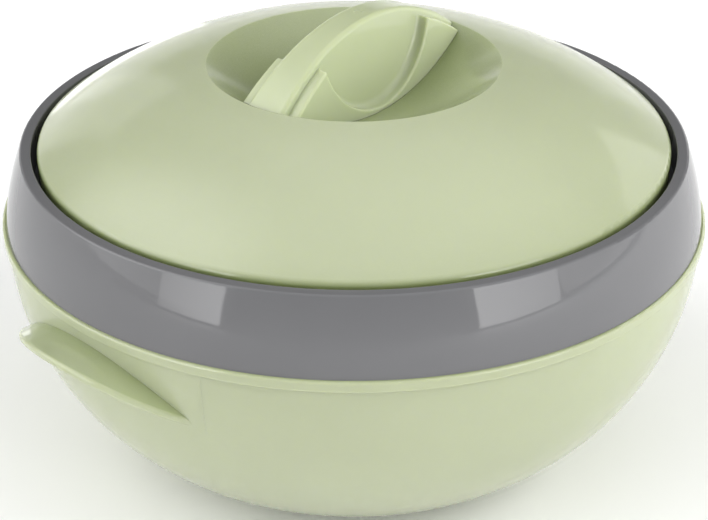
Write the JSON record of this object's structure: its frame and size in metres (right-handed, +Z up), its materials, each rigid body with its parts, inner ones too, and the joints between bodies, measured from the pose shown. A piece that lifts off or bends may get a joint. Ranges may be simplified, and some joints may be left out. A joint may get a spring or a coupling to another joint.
{
  "type": "thermal serving bowl",
  "caption": "Round double-walled thermal serving bowl with moulded side grips, a grey collar and a lift-off domed lid with a grip bar set in a finger dish.",
  "frame": {"origin": "centre of the foot ring, on the table", "axes": "+Z up along the bowl's axis; +X through the two side grips; +Y across them"},
  "size_m": [0.3, 0.2728, 0.1741],
  "materials": {
    "green_shell": "satin",
    "green_lid": "satin",
    "grey_collar": "gloss",
    "liner_steel": "satin",
    "screw_steel": "satin",
    "seal_rubber": "matte",
    "foam": "matte"
  },
  "bodies": {
    "bowl": {"outer_bowl": "green_shell", "base_plug": "green_shell", "bowl_insulation": "foam", "inner_liner": "liner_steel", "liner_seal": "seal_rubber", "collar": "grey_collar"},
    "lid": {"lid_cover": "green_lid", "lid_handle": "green_lid", "handle_screws": "screw_steel", "lid_insulation": "foam", "lid_pan": "green_lid", "lid_gasket": "seal_rubber"}
  },
  "joints": [
    {"name": "lid_lift", "type": "slide", "parent": "bowl", "child": "lid", "axis": [0, 0, 1], "range_m": [0, 0.12]}
  ]
}
